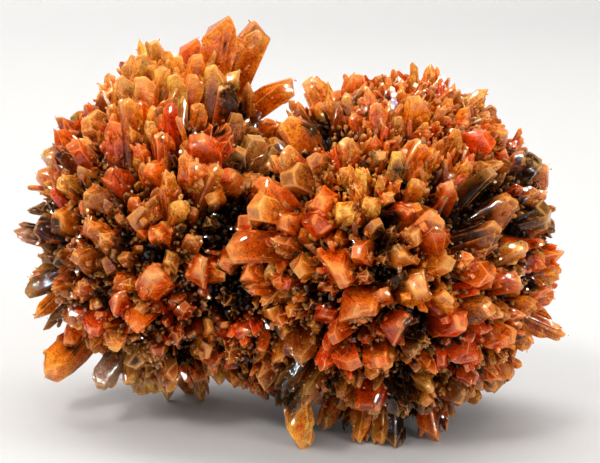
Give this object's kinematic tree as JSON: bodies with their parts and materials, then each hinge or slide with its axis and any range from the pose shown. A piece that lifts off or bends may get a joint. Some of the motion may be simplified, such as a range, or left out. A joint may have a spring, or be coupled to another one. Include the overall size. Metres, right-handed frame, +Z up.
{
  "type": "creedite cluster",
  "caption": "Free-standing mineral specimen: two grown-together balls of radiating orange creedite crystals, resting on a few crystal tips.",
  "frame": {"origin": "on the surface the cluster stands on, under the middle of its outline box", "axes": "+Z up, +X to the right and +Y away from a viewer in front of the specimen; the longer side runs along X"},
  "size_m": [0.1104, 0.0724, 0.0814],
  "materials": {
    "orange_creedite": "gloss"
  },
  "bodies": {
    "root": {"creedite_cluster": "orange_creedite"}
  },
  "joints": []
}
